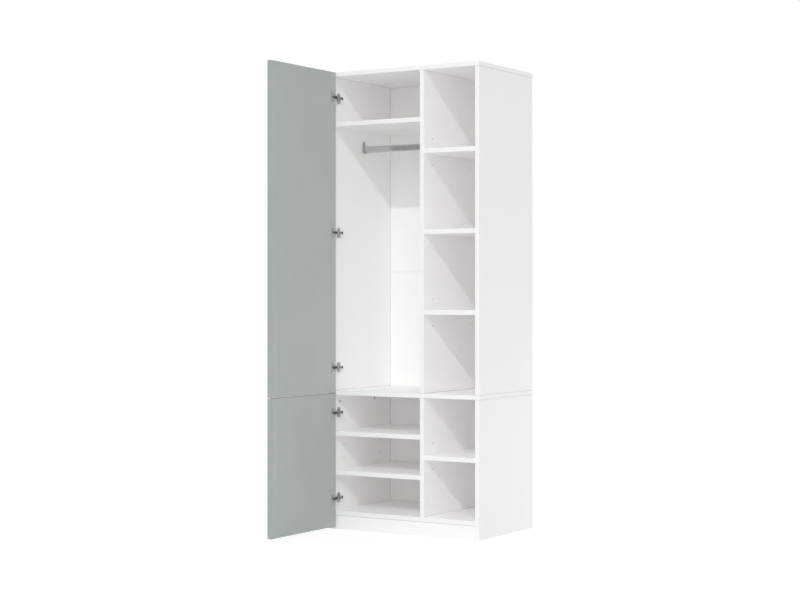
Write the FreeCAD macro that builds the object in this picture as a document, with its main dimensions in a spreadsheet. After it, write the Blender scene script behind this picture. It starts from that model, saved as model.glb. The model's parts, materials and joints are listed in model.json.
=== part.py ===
import FreeCAD, Part
import os
import re

# Open wardrobe with a narrow shelf column and two overlay doors, shown with the doors at 90 degrees.
# X runs to the right, Y to the back, Z up. The origin is on the floor, under the middle of the case front.

Vector = FreeCAD.Vector

# Driving dimensions in millimetres
DIMENSIONS = (
    ("case_width", 842, "outer width of the case"),
    ("case_depth", 545, "outer depth of the case without doors"),
    ("case_height", 2240, "floor to top face"),
    ("board", 22, "thickness of every case board and shelf"),
    ("board_ease", 1, "chamfer along the boards' edges"),
    ("right_bay", 278, "clear width of the open shelf column"),
    ("plinth_height", 67, "floor to underside of the bottom panel"),
    ("plinth_setback", 1, "plinth face behind the front edges"),
    ("mid_height", 656, "floor to underside of the middle panel"),
    ("hat_height", 223, "clear height above the hat shelf"),
    ("pin_step", 64, "pitch of the shelf pin holes"),
    ("shelf_steps", 6, "pin steps between upper shelves"),
    ("low_shelf_steps", 3, "pin steps between lower left shelves"),
    ("shelf_play", 1, "total side play of a loose shelf"),
    ("pin_radius", 2.5, "shelf pin"),
    ("pin_in_wall", 9, "length of a pin inside the wall"),
    ("pin_in_shelf", 8, "length of a pin inside the shelf"),
    ("pin_row_right", 82, "front pin row of the right bay, from the front"),
    ("pin_row_left", 100, "front pin row of the left bay, from the front"),
    ("pin_row_back", 103, "rear pin rows, from the back"),
    ("hole_depth", 10, "depth of a shelf pin hole"),
    ("fit", 0.05, "radial clearance of a pin or dowel in its hole"),
    ("back_board", 6, "thickness of a back sheet"),
    ("rebate", 8, "width of the rebate that holds a back sheet"),
    ("back_play", 0.5, "clearance round a back sheet"),
    ("back_joint", 1266, "height of the joint between the upper back sheets"),
    ("dowel_radius", 4, "wooden dowel"),
    ("dowel_in_face", 12, "dowel length inside the face it meets"),
    ("dowel_in_end", 20, "dowel length inside the board's end"),
    ("dowel_end_room", 0.5, "free depth past a dowel's end"),
    ("dowel_front", 130, "front dowel, from the front"),
    ("dowel_back", 70, "rear dowel, from the back"),
    ("low_dowel_offset", 40, "shift of the dowels under the middle panel"),
    ("cam_radius", 7.5, "cam lock housing"),
    ("cam_depth", 12.8, "cam lock housing, depth in the board"),
    ("cam_drop", 34, "cam lock centre below the middle panel"),
    ("cam_front", 64, "front cam lock, from the front"),
    ("cam_back", 160, "rear cam lock, from the back"),
    ("cam_slot", 2, "width and depth of the cam's driver slot"),
    ("bolt_radius", 3.5, "cam lock bolt"),
    ("bolt_in_panel", 10, "bolt length inside the middle panel"),
    ("screw_radius", 1.6, "shank of the small screws"),
    ("screw_head_radius", 3.5, "head of the small screws"),
    ("screw_head", 1.6, "head height of the small screws"),
    ("screw_length", 14, "shank length of the small screws"),
    ("screw_inset", 60, "back screw, from the sheet's end"),
    ("rail_height", 33, "clothes rail section, height"),
    ("rail_thick", 15, "clothes rail section, depth"),
    ("rail_wall", 1.5, "clothes rail wall"),
    ("rail_drop", 93.5, "rail centre below the hat shelf"),
    ("rail_back", 280, "rail centre behind the front"),
    ("socket_wall", 2.5, "wall of a rail socket's cradle"),
    ("socket_depth", 12, "rail socket's cradle along the rail"),
    ("socket_base", 4, "plate of a rail socket on the wall"),
    ("socket_lug", 20, "reach of a socket's plate above its cradle"),
    ("door_board", 22, "thickness of a door"),
    ("door_round", 1.5, "radius of a door's lacquered edges"),
    ("door_width", 540, "width of a door"),
    ("door_top_gap", 2, "door top below the case top"),
    ("door_floor_gap", 13, "lower door above the floor"),
    ("door_split", 3, "gap between the two doors"),
    ("open_inset", 21, "open door's inner face, from the left wall's inner face"),
    ("open_gap", 5, "open door's hinge edge in front of the case"),
    ("groove_length", 544, "finger groove along the door's free edge"),
    ("groove_end", 12, "finger groove's end, from the gap between the doors"),
    ("groove_width", 36, "finger groove across"),
    ("groove_depth", 3.5, "finger groove into the door, at its lip"),
    ("groove_lip", 4, "wood left between the groove and the free edge"),
    ("upper_hinge_inset", 122, "outer hinges of the upper door, from its ends"),
    ("lower_hinge_top", 97, "upper hinge of the lower door, from its top"),
    ("lower_hinge_low", 136, "lower hinge of the lower door, from its bottom"),
    ("cup_radius", 17.5, "hinge cup outside radius"),
    ("cup_depth", 11.5, "hinge cup depth"),
    ("cup_wall", 1.2, "hinge cup side wall"),
    ("cup_floor", 1, "hinge cup floor"),
    ("cup_setback", 22.5, "cup centre, from the door's hinge edge"),
    ("cup_play", 0.1, "radial clearance of the cup in its bore"),
    ("flange", 1.2, "thickness of the cup's flange"),
    ("flange_radius", 19.5, "round part of the cup's flange"),
    ("flange_ear", 7, "radius of a flange ear"),
    ("ear_pitch", 22.5, "flange screw above or below the cup centre"),
    ("ear_offset", 9.5, "flange screw behind the cup centre"),
    ("cup_pin_setback", 14, "link pin in the cup, from the hinge edge"),
    ("cup_pin_depth", 4, "link pin below the door's inner face"),
    ("pivot_stand", 15, "arm pivot, from the left wall's inner face"),
    ("pivot_back", 6.45, "arm pivot behind the front"),
    ("link_rise", 10.7, "bow of the link away from the straight line"),
    ("link_sheet", 2, "thickness of the link"),
    ("link_width", 10, "width of the link along the pins"),
    ("eye_radius", 3, "rolled eye of the link"),
    ("hinge_pin", 1.5, "radius of the hinge pins"),
    ("pin_room", 0.4, "radial clearance of a link eye round its pin"),
    ("arm_inner", 11, "clear width between the arm's cheeks"),
    ("arm_sheet", 1.5, "sheet of the arm"),
    ("arm_round", 1.4, "bend radius round the arm's top"),
    ("arm_low", 7, "arm's cheeks, from the wall"),
    ("arm_top", 18.2, "arm's top, from the wall"),
    ("arm_front", 2.6, "arm's front end behind the front"),
    ("arm_web_front", 16, "front end of the arm's web behind the front"),
    ("arm_length", 66, "arm's rear end behind the front"),
    ("plate_centre", 50, "mounting plate's screw row behind the front"),
    ("plate_wing", 50, "mounting plate along the case's height"),
    ("plate_wide", 22, "mounting plate's wings, front to back"),
    ("plate_sheet", 3.5, "thickness of the mounting plate's wings"),
    ("plate_screw", 16, "mounting plate's screw above or below its centre"),
    ("rider_half", 5.4, "half width of the block under the arm"),
    ("rider_front", 28, "front end of that block behind the front"),
    ("rider_back", 64, "rear end of that block behind the front"),
    ("arm_screw_front", 35, "arm's adjusting screw behind the front"),
    ("arm_screw_back", 57, "arm's fixing screw behind the front"),
    ("clamp_head_radius", 5.5, "head of the arm's fixing screw"),
)

doc = FreeCAD.newDocument("wardrobe")
sheet = doc.addObject("Spreadsheet::Sheet", "dims")
for row, (alias, size, meaning) in enumerate(DIMENSIONS, start=1):
    sheet.set("A%d" % row, meaning)
    sheet.set("B%d" % row, str(size))
    sheet.setAlias("B%d" % row, alias)
doc.recompute()

ALIASES = re.compile(r"\b(%s)\b" % "|".join(alias for alias, _, _ in DIMENSIONS))
TURN_TO_X = FreeCAD.Rotation(Vector(0, 1, 0), 90)
TURN_TO_Y = FreeCAD.Rotation(Vector(1, 0, 0), -90)
TURNS = {"x": TURN_TO_X, "y": TURN_TO_Y, "z": FreeCAD.Rotation()}

# Places that several pieces share
LEFT = "(-case_width / 2)"
LEFT_IN = "(-case_width / 2 + board)"
RIGHT_IN = "(case_width / 2 - board)"
DIVIDER_RIGHT = "(case_width / 2 - board - right_bay)"
DIVIDER_LEFT = "(case_width / 2 - 2 * board - right_bay)"
DIVIDER_MID = "(case_width / 2 - 1.5 * board - right_bay)"
LEFT_MID = "(-case_width / 2 + board / 2)"
RIGHT_MID = "(case_width / 2 - board / 2)"
FRONT = "0"
BACK = "case_depth"
FLOOR_TOP = "(plinth_height + board)"
MID_TOP = "(mid_height + board)"
TOP_LOW = "(case_height - board)"
INNER_DEPTH = "(case_depth - back_board)"
HAT_LOW = "(case_height - 2 * board - hat_height)"
UPPER_MIDDLE = "((mid_height + case_height) / 2)"
LOWER_MIDDLE = "((plinth_height + board + mid_height) / 2)"
DOOR_FACE = "(-case_width / 2 + board + open_inset)"
DOOR_EDGE = "(-open_gap)"
SPLIT = "(mid_height + board / 2)"

exported = []


def bound(text):
    """An expression in the sheet's terms, from one written with plain dimension names."""
    return ALIASES.sub(r"dims.\1", str(text))


def value(alias):
    """A driving dimension as a number."""
    return float(sheet.get(alias))


def place(piece, x, y, z):
    """Ties a piece's position to the sheet."""
    for axis, text in zip("xyz", (x, y, z)):
        piece.setExpression("Placement.Base." + axis, bound(text))
    return piece


def block(name, corner, size):
    """A box from its low corner and its three sizes."""
    piece = doc.addObject("Part::Box", name)
    for side, text in zip(("Length", "Width", "Height"), size):
        piece.setExpression(side, bound(text))
    return place(piece, *corner)


def rod(name, axis, start, radius, length):
    """A round bar from its start, along X, Y or Z."""
    piece = doc.addObject("Part::Cylinder", name)
    piece.setExpression("Radius", bound(radius))
    piece.setExpression("Height", bound(length))
    piece.Placement.Rotation = TURNS[axis]
    return place(piece, *start)


def tablet(name, x, y, z, thick, wide, tall):
    """An upright plate with round ends, from its near face along X and its middle in Y and Z."""
    straight = "(%s - %s)" % (tall, wide)
    core = block(name + "_core", (x, "%s - %s / 2" % (y, wide), "%s - %s / 2" % (z, straight)),
                 (thick, wide, straight))
    heights = [("low", "%s - %s / 2" % (z, straight)), ("high", "%s + %s / 2" % (z, straight))]
    ends = [rod("%s_%s" % (name, way), "x", (x, y, end_z), wide + " / 2", thick) for way, end_z in heights]
    return joined(name, [core] + ends)


def ball(name, centre, radius):
    """A full sphere."""
    piece = doc.addObject("Part::Sphere", name)
    piece.setExpression("Radius", bound(radius))
    return place(piece, *centre)


def group(name, pieces):
    """Separate solids kept side by side."""
    piece = doc.addObject("Part::Compound", name)
    piece.Links = pieces
    return piece


def joined(name, pieces):
    """Solids fused to one."""
    piece = doc.addObject("Part::MultiFuse", name)
    piece.Shapes = pieces
    return piece


def cut(name, base, tools):
    """A solid less a list of others."""
    piece = doc.addObject("Part::Cut", name)
    piece.Base = base
    piece.Tool = group(name + "_tools", tools)
    return piece


def shared(name, pieces):
    """What several solids have in common."""
    piece = doc.addObject("Part::MultiCommon", name)
    piece.Shapes = pieces
    return piece


def softened(kind, name, piece, pick, amount):
    """A block with some edges filleted or chamfered; pick gives their numbers from its list of edges."""
    piece.recompute()
    soft = doc.addObject(kind, name)
    soft.Base = piece
    soft.Edges = [(number, value(amount), value(amount)) for number in pick(piece.Shape.Edges)]
    return soft


def top_edges(edges):
    """The four edges of a block's far face along X."""
    order = sorted(range(len(edges)), key=lambda index: -edges[index].CenterOfMass.x)
    return [index + 1 for index in order[:4]]


def every_edge(edges):
    """All edges of a block."""
    return range(1, len(edges) + 1)


def export(piece, label):
    """Names a finished sub-part and keeps it for its file."""
    piece.Label = label
    exported.append(piece)
    return piece


# Holes and small parts that belong to several boards are gathered here first, board by board
holes = {}


def drill(board_name, tool):
    """Keeps a cutting tool for a board."""
    holes.setdefault(board_name, []).append(tool)


# Dowels
dowels = []


def dowel(name, axis, face, across, into_face, into_end, sense):
    """One dowel that stands in a board's face and enters another board's end.

    face is the place of the joint along the axis, sense is 1 where the face board lies at higher values.
    """
    low = "dowel_in_end" if sense > 0 else "dowel_in_face"
    wood = ("", "dowel_radius", "0")
    bore = ("_hole", "dowel_radius + fit", "dowel_end_room")
    for suffix, radius, extra in (wood, bore):
        start = "%s - %s - %s" % (face, low, extra)
        length = "dowel_in_face + dowel_in_end + 2 * %s" % extra
        point = (start, across[0], across[1]) if axis == "x" else (across[0], across[1], start)
        piece = rod(name + suffix, axis, point, radius, length)
        if suffix:
            drill(into_face, piece)
            drill(into_end, piece)
        else:
            dowels.append(piece)


def dowel_rows(shift):
    """The front and rear dowel places along a joint."""
    return (FRONT + " + dowel_front + " + shift, BACK + " - dowel_back - " + shift)


UPRIGHTS = (("left", LEFT_MID), ("divider", DIVIDER_MID), ("right", RIGHT_MID))
UPPER_NAMES = {"left": "upper_side_left", "divider": "upper_divider", "right": "upper_side_right"}
LOWER_NAMES = {"left": "lower_side_left", "divider": "lower_divider", "right": "lower_side_right"}

for side, middle in UPRIGHTS:
    for end, y in zip(("front", "rear"), dowel_rows("0")):
        dowel("dowel_top_%s_%s" % (side, end), "z", TOP_LOW, (middle, y),
              "top_panel", UPPER_NAMES[side], 1)
        dowel("dowel_mid_%s_%s" % (side, end), "z", MID_TOP, (middle, y),
              "mid_panel", UPPER_NAMES[side], -1)
    for end, y in zip(("front", "rear"), dowel_rows("low_dowel_offset")):
        dowel("dowel_low_%s_%s" % (side, end), "z", "mid_height", (middle, y),
              "mid_panel", LOWER_NAMES[side], 1)
for end, y in zip(("front", "rear"), dowel_rows("0")):
    dowel("dowel_base_divider_%s" % end, "z", FLOOR_TOP, (DIVIDER_MID, y),
          "bottom_panel", "lower_divider", -1)
    for name, height, left, right in (
            ("bottom_panel", "plinth_height + board / 2", LOWER_NAMES["left"], LOWER_NAMES["right"]),
            ("hat_shelf", HAT_LOW + " + board / 2", UPPER_NAMES["left"], UPPER_NAMES["divider"]),
            ("upper_shelf_middle", UPPER_MIDDLE, UPPER_NAMES["divider"], UPPER_NAMES["right"])):
        low_x = DIVIDER_RIGHT if name == "upper_shelf_middle" else LEFT_IN
        high_x = DIVIDER_LEFT if name == "hat_shelf" else RIGHT_IN
        dowel("dowel_%s_left_%s" % (name, end), "x", low_x, (y, height), left, name, -1)
        dowel("dowel_%s_right_%s" % (name, end), "x", high_x, (y, height), right, name, 1)
plinth_y = FRONT + " + plinth_setback + board / 2"
dowel("dowel_plinth_left", "x", LEFT_IN, (plinth_y, "plinth_height / 2"), LOWER_NAMES["left"], "plinth", -1)
dowel("dowel_plinth_right", "x", RIGHT_IN, (plinth_y, "plinth_height / 2"), LOWER_NAMES["right"], "plinth", 1)

# Shelf pins, their holes in use and the spare holes a step above and below
pins = []
PIN_BAYS = {
    "left": (LEFT_IN, DIVIDER_LEFT, "pin_row_left", "left", "divider"),
    "right": (DIVIDER_RIGHT, RIGHT_IN, "pin_row_right", "divider", "right"),
}
LOOSE_SHELVES = (
    ("upper_shelf_top", "right", UPPER_MIDDLE + " + pin_step * shelf_steps", UPPER_NAMES, (-1, 1)),
    ("upper_shelf_low", "right", UPPER_MIDDLE + " - pin_step * shelf_steps", UPPER_NAMES, (-1, 1)),
    ("lower_right_shelf", "right", LOWER_MIDDLE, LOWER_NAMES, (-1, 1)),
    ("lower_left_shelf_top", "left", LOWER_MIDDLE + " + pin_step * low_shelf_steps / 2", LOWER_NAMES, (-1,)),
    ("lower_left_shelf_low", "left", LOWER_MIDDLE + " - pin_step * low_shelf_steps / 2", LOWER_NAMES, (1,)),
)
for shelf, bay, height, names, spare in LOOSE_SHELVES:
    low_face, high_face, front_row, low_board, high_board = PIN_BAYS[bay]
    for end, y in (("front", FRONT + " + " + front_row), ("rear", BACK + " - pin_row_back")):
        for side, face, wall in (("left", low_face, low_board), ("right", high_face, high_board)):
            tag = "%s_%s_%s" % (shelf, side, end)
            into_wall = side == "left"
            start = face + (" - pin_in_wall" if into_wall else " - pin_in_shelf")
            pin_length = "pin_in_wall + pin_in_shelf"
            pins.append(rod("pin_" + tag, "x", (start, y, height), "pin_radius", pin_length))
            for step in (0,) + spare:
                hole_start = face + (" - hole_depth" if into_wall else "")
                hole_z = "%s + %d * pin_step" % (height, step)
                drill(names[wall], rod("hole_%s_%d" % (tag, step), "x", (hole_start, y, hole_z),
                                       "pin_radius + fit", "hole_depth"))
            # the shelf drops over its pins through slots that are open below
            slot_x = face + (" + 0" if into_wall else " - pin_in_shelf - shelf_play")
            slot_length = "pin_in_shelf + shelf_play"
            drill(shelf, rod("seat_" + tag, "x", (slot_x, y, height), "pin_radius + fit", slot_length))
            drill(shelf, block("slot_" + tag, (slot_x, y + " - pin_radius - fit", height + " - board / 2"),
                               (slot_length, "2 * (pin_radius + fit)", "board / 2")))

# Cam locks that draw the lower uprights to the middle panel
cams = []
bolts = []
CAM_FACES = (
    ("left", LEFT_IN, LEFT_MID, -1),
    ("divider", DIVIDER_LEFT, DIVIDER_MID, 1),
    ("right", RIGHT_IN, RIGHT_MID, 1),
)
CAM_Z = "mid_height - cam_drop"
CAM_BORE = "cam_radius + fit"
BOLT_BORE = "bolt_radius + fit"
for side, face, middle, sense in CAM_FACES:
    for end, y in (("front", FRONT + " + cam_front"), ("rear", BACK + " - cam_back")):
        tag = "%s_%s" % (side, end)
        upright = LOWER_NAMES[side]
        start = face + (" - cam_depth" if sense < 0 else "")
        drill(upright, rod("cam_bore_" + tag, "x", (start, y, CAM_Z), CAM_BORE, "cam_depth"))
        drill(upright, rod("bolt_bore_" + tag, "z", (middle, y, CAM_Z), BOLT_BORE, "cam_drop"))
        drill("mid_panel", rod("bolt_seat_" + tag, "z", (middle, y, "mid_height"), BOLT_BORE,
                               "bolt_in_panel + dowel_end_room"))
        body = rod("cam_body_" + tag, "x", (start, y, CAM_Z), "cam_radius", "cam_depth")
        mouth = rod("cam_mouth_" + tag, "z", (middle, y, CAM_Z), BOLT_BORE, "cam_drop")
        slot_x = face + (" - cam_slot" if sense < 0 else "")
        slots = [
            block("cam_slot_y_" + tag, (slot_x, y + " - cam_radius / 2", CAM_Z + " - cam_slot / 2"),
                  ("cam_slot", "cam_radius", "cam_slot")),
            block("cam_slot_z_" + tag, (slot_x, y + " - cam_slot / 2", CAM_Z + " - cam_radius / 2"),
                  ("cam_slot", "cam_slot", "cam_radius")),
        ]
        cams.append(cut("cam_" + tag, body, [mouth] + slots))
        bolts.append(rod("bolt_" + tag, "z", (middle, y, CAM_Z + " + fit"), "bolt_radius",
                         "cam_drop + bolt_in_panel - fit"))

# Back sheets in their rebates, and the screws that hold them
BACK_FACE = BACK + " - back_board"
SHEETS = (
    ("lower_back", FLOOR_TOP + " - rebate + back_play", "mid_height + rebate - back_play", LOWER_NAMES),
    ("upper_back_low", MID_TOP + " - rebate + back_play", "back_joint", UPPER_NAMES),
    ("upper_back_high", "back_joint + back_play", TOP_LOW + " + rebate - back_play", UPPER_NAMES),
)
back_screws = []
SHEET_LINES = (
    ("left", LEFT_IN + " - rebate / 2"),
    ("divider", DIVIDER_MID),
    ("right", RIGHT_IN + " + rebate / 2"),
)
SCREW_BORE = "screw_radius + fit"
for sheet_name, low, high, names in SHEETS:
    for side, x in SHEET_LINES:
        for end, z in (("low", low + " + screw_inset"), ("high", high + " - screw_inset")):
            tag = "%s_%s_%s" % (sheet_name, side, end)
            head = rod("head_" + tag, "y", (x, BACK + " - screw_head", z), "screw_head_radius", "screw_head")
            shank = rod("shank_" + tag, "y", (x, BACK + " - screw_length", z), "screw_radius", "screw_length")
            back_screws.append(joined("screw_" + tag, [head, shank]))
            drill(names[side], rod("pilot_" + tag, "y", (x, BACK + " - screw_length - fit", z),
                                   SCREW_BORE, "screw_length"))
            drill(sheet_name, rod("through_" + tag, "y", (x, BACK_FACE, z), SCREW_BORE, "back_board"))
            drill(sheet_name, rod("recess_" + tag, "y", (x, BACK + " - screw_head", z),
                                  "screw_head_radius + fit", "screw_head"))


def rebate_along(board_name, corner, size):
    """A rebate along a board's rear edge, with the back sheet's play left to the sheet."""
    drill(board_name, block("rebate_%s_%d" % (board_name, len(holes.get(board_name, []))), corner, size))


rebate_width = "case_width - 2 * board + 2 * rebate"
rebate_x = LEFT_IN + " - rebate"
for names, low, high in ((UPPER_NAMES, "mid_height", "case_height"),
                         (LOWER_NAMES, "plinth_height", "mid_height")):
    run = ("rebate", "back_board", "%s - %s" % (high, low))
    rebate_along(names["left"], (rebate_x, BACK_FACE, low), run)
    rebate_along(names["right"], (RIGHT_IN, BACK_FACE, low), run)
for board_name, z in (("top_panel", TOP_LOW), ("mid_panel", "mid_height"),
                      ("mid_panel", MID_TOP + " - rebate"), ("bottom_panel", FLOOR_TOP + " - rebate")):
    rebate_along(board_name, (rebate_x, BACK_FACE, z), (rebate_width, "back_board", "rebate"))

# Hinges: arm, plate and arm pivot stay on the case, the cup goes with its door, the link joins them
UPPER_TOP = "(case_height - door_top_gap - upper_hinge_inset)"
UPPER_LOW = "(%s + door_split / 2 + upper_hinge_inset)" % SPLIT
LOWER_TOP = "(%s - door_split / 2 - lower_hinge_top)" % SPLIT
LOWER_LOW = "(door_floor_gap + lower_hinge_low)"
HINGES = {
    "upper": (UPPER_LOW, "((%s + %s) / 2)" % (UPPER_LOW, UPPER_TOP), UPPER_TOP),
    "lower": (LOWER_LOW, LOWER_TOP),
}
PIVOT_X = LEFT_IN + " + pivot_stand"
PIVOT_Y = FRONT + " + pivot_back"
CUP_Y = DOOR_EDGE + " - cup_setback"
CUP_PIN_X = DOOR_FACE + " - cup_pin_depth"
CUP_PIN_Y = DOOR_EDGE + " - cup_pin_setback"
hinge = {key: [] for key in ("plates", "arms", "arm_pins", "plate_screws", "arm_screws")}
moving = {(key, door): [] for key in ("links", "cups", "cup_pins", "cup_screws") for door in HINGES}


def screw(name, axis, face, radius, head_radius, head, length, sense):
    """A screw with its head on a face; sense is the way the head points along the axis."""
    along = "xyz".index(axis)
    head_start = list(face)
    shank_start = list(face)
    if sense > 0:
        shank_start[along] = "%s - (%s)" % (face[along], length)
    else:
        head_start[along] = "%s - (%s)" % (face[along], head)
    top = rod(name + "_head", axis, head_start, head_radius, head)
    stem = rod(name + "_stem", axis, shank_start, radius, length)
    return joined(name, [top, stem])


def mounting_plate(tag, z, wall):
    """The cross-shaped plate on the left wall, with the block that the arm sits on."""
    wings = tablet("wings_" + tag, LEFT_IN, FRONT + " + plate_centre", z,
                   "plate_sheet", "plate_wide", "plate_wing")
    rider = block("rider_" + tag, (LEFT_IN, FRONT + " + rider_front", z + " - rider_half"),
                  ("arm_top - arm_sheet", "rider_back - rider_front", "2 * rider_half"))
    tools = []
    for way, sign in (("low", "-"), ("high", "+")):
        screw_z = "%s %s plate_screw" % (z, sign)
        face = (LEFT_IN + " + plate_sheet", FRONT + " + plate_centre", screw_z)
        hinge["plate_screws"].append(screw("plate_screw_%s_%s" % (tag, way), "x", face, "screw_radius",
                                           "screw_head_radius", "screw_head", "screw_length", 1))
        bore = rod("plate_bore_%s_%s" % (tag, way), "x", (LEFT_IN + " - screw_length + plate_sheet - fit",
                   face[1], screw_z), SCREW_BORE, "screw_length + fit")
        tools.append(bore)
        drill(wall, bore)
    for end, head_radius in (("front", "screw_head_radius"), ("back", "clamp_head_radius")):
        y = "%s + arm_screw_%s" % (FRONT, end)
        face = (LEFT_IN + " + arm_top", y, z)
        hinge["arm_screws"].append(screw("arm_screw_%s_%s" % (tag, end), "x", face, "screw_radius",
                                         head_radius, "screw_head", "screw_length - plate_sheet", 1))
        tools.append(rod("rider_bore_%s_%s" % (tag, end), "x",
                         (LEFT_IN + " + arm_top - screw_length + plate_sheet - fit", y, z),
                         SCREW_BORE, "screw_length"))
    hinge["plates"].append(cut("plate_" + tag, joined("plate_body_" + tag, [wings, rider]), tools))
    return tools[2:]


def arm(tag, z, screw_bores):
    """The folded arm: a web over two cheeks, whose front ends hold the pivot."""
    outer = "(arm_inner + 2 * arm_sheet)"
    start_x = LEFT_IN + " + arm_low"
    start_y = FRONT + " + arm_front"
    low_z = "%s - %s / 2" % (z, outer)
    inner_z = z + " - arm_inner / 2"
    body = block("arm_body_" + tag, (start_x, start_y, low_z),
                 ("arm_top - arm_low", "arm_length - arm_front", outer))
    folded = softened("Part::Fillet", "arm_fold_" + tag, body, top_edges, "arm_round")
    channel = block("arm_channel_" + tag, (start_x, start_y, inner_z),
                    ("arm_top - arm_low - arm_sheet", "arm_length - arm_front", "arm_inner"))
    mouth = block("arm_mouth_" + tag, (start_x, start_y, inner_z),
                  ("arm_top - arm_low", "arm_web_front - arm_front", "arm_inner"))
    bore = rod("arm_bore_" + tag, "z", (PIVOT_X, PIVOT_Y, low_z), "hinge_pin + fit", outer)
    hinge["arms"].append(cut("arm_" + tag, folded, [channel, mouth, bore] + screw_bores))
    hinge["arm_pins"].append(rod("arm_pin_" + tag, "z", (PIVOT_X, PIVOT_Y, low_z), "hinge_pin", outer))


def cup(tag, door, z):
    """The cup in the door with its flange, link pin and two screws."""
    shell = rod("cup_shell_" + tag, "x", (DOOR_FACE + " - cup_depth", CUP_Y, z), "cup_radius", "cup_depth")
    disc = rod("cup_disc_" + tag, "x", (DOOR_FACE, CUP_Y, z), "flange_radius", "flange")
    ear_y = CUP_Y + " - ear_offset"
    ears = [rod("cup_ear_%s_%s" % (tag, way), "x", (DOOR_FACE, ear_y, "%s %s ear_pitch" % (z, sign)),
                "flange_ear", "flange") for way, sign in (("low", "-"), ("high", "+"))]
    strap = block("cup_strap_" + tag, (DOOR_FACE, ear_y + " - flange_ear", z + " - ear_pitch"),
                  ("flange", "2 * flange_ear", "2 * ear_pitch"))
    hollow = rod("cup_hollow_" + tag, "x", (DOOR_FACE + " - cup_depth + cup_floor", CUP_Y, z),
                 "cup_radius - cup_wall", "cup_depth - cup_floor + flange")
    pin_reach = "sqrt(cup_radius ^ 2 - (cup_setback - cup_pin_setback) ^ 2) - cup_wall / 2"
    pin_start = (CUP_PIN_X, CUP_PIN_Y, "%s - (%s)" % (z, pin_reach))
    pin_length = "2 * (%s)" % pin_reach
    pin_bore = rod("cup_pin_bore_" + tag, "z", pin_start, "hinge_pin + fit", pin_length)
    tools = [hollow, pin_bore]
    for way, sign in (("low", "-"), ("high", "+")):
        face = (DOOR_FACE + " + flange", ear_y, "%s %s ear_pitch" % (z, sign))
        moving["cup_screws", door].append(screw("cup_screw_%s_%s" % (tag, way), "x", face, "screw_radius",
                                                "screw_head_radius", "screw_head", "screw_length", 1))
        bore = rod("cup_screw_bore_%s_%s" % (tag, way), "x", (DOOR_FACE + " + flange - screw_length - fit",
                   ear_y, face[2]), SCREW_BORE, "screw_length + fit")
        tools.append(bore)
        drill(door + "_door", bore)
    body = joined("cup_body_" + tag, [shell, disc, strap] + ears)
    moving["cups", door].append(cut("cup_" + tag, body, tools))
    moving["cup_pins", door].append(rod("cup_pin_" + tag, "z", pin_start, "hinge_pin", pin_length))
    drill(door + "_door", rod("cup_seat_" + tag, "x", (DOOR_FACE + " - cup_depth - cup_play", CUP_Y, z),
                              "cup_radius + cup_play", "cup_depth + cup_play"))


def link_shape():
    """The bowed link about its arm pivot: a strip bent round the door's edge, with a rolled eye at each end.

    The strip is an arc between the two eyes, which stand off the straight line between them by link_rise.
    """
    arm_eye = Vector(0, 0, 0)
    cup_eye = Vector(value("open_inset") - value("cup_pin_depth") - value("pivot_stand"),
                     -value("open_gap") - value("cup_pin_setback") - value("pivot_back"), 0)
    half_chord = cup_eye.Length / 2
    rise = value("link_rise")
    radius = (half_chord ** 2 + rise ** 2) / (2 * rise)
    along = cup_eye.normalize()
    bow = Vector(-along.y, along.x, 0)
    middle = along * half_chord
    centre = middle + bow * (rise - radius)
    cup_eye = along * (2 * half_chord)
    half_sheet = value("link_sheet") / 2
    rims = []
    for rim in (radius - half_sheet, radius + half_sheet):
        ends = [centre + (eye - centre).normalize() * rim for eye in (arm_eye, cup_eye)]
        rims.append((ends[0], centre + bow * rim, ends[1]))
    (inner_arm, inner_peak, inner_cup), (outer_arm, outer_peak, outer_cup) = rims
    edges = [
        Part.Arc(inner_arm, inner_peak, inner_cup).toShape(),
        Part.LineSegment(inner_cup, outer_cup).toShape(),
        Part.Arc(outer_cup, outer_peak, outer_arm).toShape(),
        Part.LineSegment(outer_arm, inner_arm).toShape(),
    ]
    width = Vector(0, 0, value("link_width"))
    low = width * -0.5
    strip = Part.Face(Part.Wire(edges)).extrude(width)
    strip.translate(low)
    eyes = [Part.makeCylinder(value("eye_radius"), width.Length, eye + low) for eye in (arm_eye, cup_eye)]
    bore = value("hinge_pin") + value("pin_room")
    bores = [Part.makeCylinder(bore, width.Length, eye + low) for eye in (arm_eye, cup_eye)]
    return strip.fuse(eyes).cut(bores).removeSplitter()


LINK = link_shape()


def link(tag, door, z):
    """One link in its place on the arm pivot."""
    piece = doc.addObject("Part::Feature", "link_" + tag)
    piece.Shape = LINK
    moving["links", door].append(place(piece, PIVOT_X, PIVOT_Y, z))


for door, heights in HINGES.items():
    for number, height in enumerate(heights, start=1):
        tag = "%s_%d" % (door, number)
        arm(tag, height, mounting_plate(tag, height, door + "_side_left"))
        cup(tag, door, height)
        link(tag, door, height)

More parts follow.
